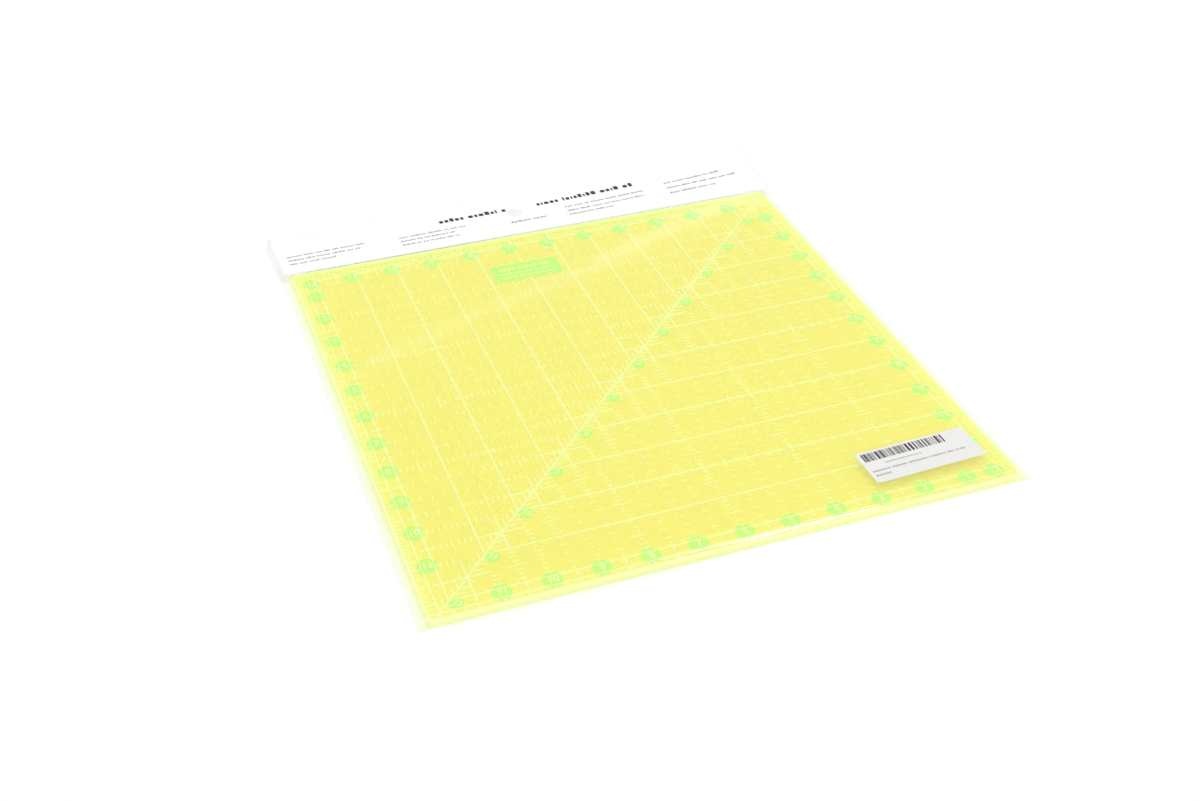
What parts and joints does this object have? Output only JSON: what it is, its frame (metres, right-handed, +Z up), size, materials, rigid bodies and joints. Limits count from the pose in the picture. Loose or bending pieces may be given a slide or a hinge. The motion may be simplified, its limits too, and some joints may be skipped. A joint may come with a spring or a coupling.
{
  "type": "quilting ruler",
  "caption": "Square see-through acrylic quilting ruler with an inch grid and numbered edges, in a clear film sleeve with a folded card header.",
  "frame": {"origin": "centre of the pack's footprint, on the table plane", "axes": "+X to the right along the ruler's top edge, +Y from the ruler towards the header card, +Z up out of the ruler's face"},
  "size_m": [0.3312, 0.3738, 0.0044],
  "materials": {
    "acrylic": "polished, fluorescent",
    "line_ink": "matt ink",
    "disc_ink": "matt ink",
    "film": "clear film",
    "label_paper": "satin paper",
    "card": "coated white card",
    "black_ink": "matt ink",
    "grey_ink": "matt ink",
    "glue": "dry glue"
  },
  "bodies": {
    "ruler": {"acrylic_plate": "acrylic", "title_panel": "disc_ink", "inch_lines": "line_ink", "half_inch_crosses": "line_ink", "diagonal_line": "line_ink", "border_lines": "line_ink", "half_inch_ticks": "line_ink", "edge_number_discs": "disc_ink", "diagonal_number_discs": "disc_ink"},
    "sleeve": {"sleeve_front_film": "film", "sleeve_back_film": "film", "sleeve_side_welds": "film", "barcode_label": "label_paper", "barcode_bars": "black_ink", "label_print": "grey_ink"},
    "header": {"header_back_panel": "card", "header_fold": "card", "back_glue_strip": "glue"},
    "header_flap": {"header_front_panel": "card", "front_glue_strip": "glue", "header_title_bars": "black_ink", "header_notes": "grey_ink"}
  },
  "joints": [
    {"name": "sleeve_slide", "type": "slide", "parent": "ruler", "child": "sleeve", "axis": [0, -1, 0], "range_m": [0, 0.345]},
    {"name": "header_slide", "type": "slide", "parent": "ruler", "child": "header", "axis": [-0.0239, 0.9997, 0], "range_m": [0, 0.1]},
    {"name": "header_flap", "type": "hinge", "parent": "header", "child": "header_flap", "pos_m": [-0.00052, 0.18076, 0.00435], "axis": [-0.9997, -0.0239, 0], "range_deg": [0, 170]}
  ]
}
